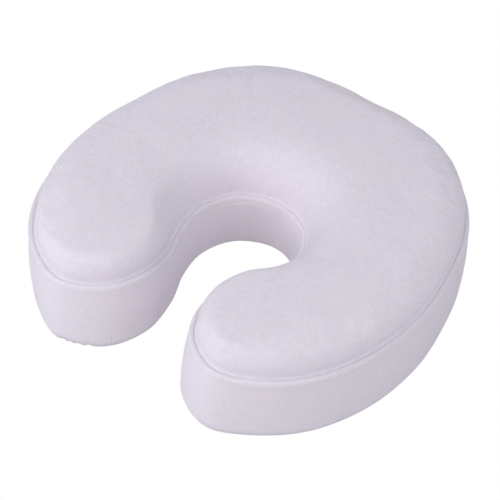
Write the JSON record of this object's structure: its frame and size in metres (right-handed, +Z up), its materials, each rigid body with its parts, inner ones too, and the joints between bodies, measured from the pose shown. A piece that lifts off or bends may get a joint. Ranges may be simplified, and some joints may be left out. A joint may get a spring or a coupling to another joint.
{
  "type": "face cradle cushion",
  "caption": "Horseshoe face rest cushion with a moulded scoop around the opening, in a zipped velour cover with loop tape underneath.",
  "frame": {"origin": "under the middle of the outline, on the surface that the loop tapes rest on", "axes": "+Z up out of the padded face; -Y out of the open end of the horseshoe; +X to the right seen from that open end"},
  "size_m": [0.3014, 0.3108, 0.085],
  "materials": {
    "velour_top": "short-pile velour knit, pale lavender off-white",
    "velour_band": "short-pile velour knit, pale lavender off-white",
    "velour_base": "short-pile velour knit, pale lavender off-white",
    "memory_foam": "open-cell slow-recovery polyurethane foam with a moulded skin",
    "support_foam": "open-cell firm polyurethane foam",
    "zip_tape": "woven polyester herringbone tape",
    "zip_coil": "nylon coil, satin",
    "zip_metal": "die-cast zinc, silver lacquer",
    "loop_tape": "brushed nylon loop pile",
    "label_satin": "blank white satin"
  },
  "bodies": {
    "cushion": {"top_panel": "velour_top", "side_band": "velour_band", "bottom_panel_front": "velour_base", "bottom_panel_rear": "velour_base", "memory_foam": "memory_foam", "support_foam": "support_foam", "zip_tape_front": "zip_tape", "zip_tape_rear": "zip_tape", "zip_coil_front": "zip_coil", "zip_coil_rear": "zip_coil", "zip_top_stop_front": "zip_metal", "zip_top_stop_rear": "zip_metal", "zip_bottom_stop": "zip_metal", "loop_tape_left": "loop_tape", "loop_tape_right": "loop_tape", "loop_tape_rear": "loop_tape", "care_label": "label_satin"},
    "slider": {"zip_slider": "zip_metal"},
    "pull": {"zip_pull": "zip_metal"}
  },
  "joints": [
    {"name": "slider_travel", "type": "slide", "parent": "cushion", "child": "slider", "axis": [-1, 0, 0], "range_m": [0, 0.174]},
    {"name": "pull_swing", "type": "hinge", "parent": "slider", "child": "pull", "pos_m": [0.087, 0.076, 0.00225], "axis": [0, -1, 0], "range_deg": [0, 180]}
  ]
}
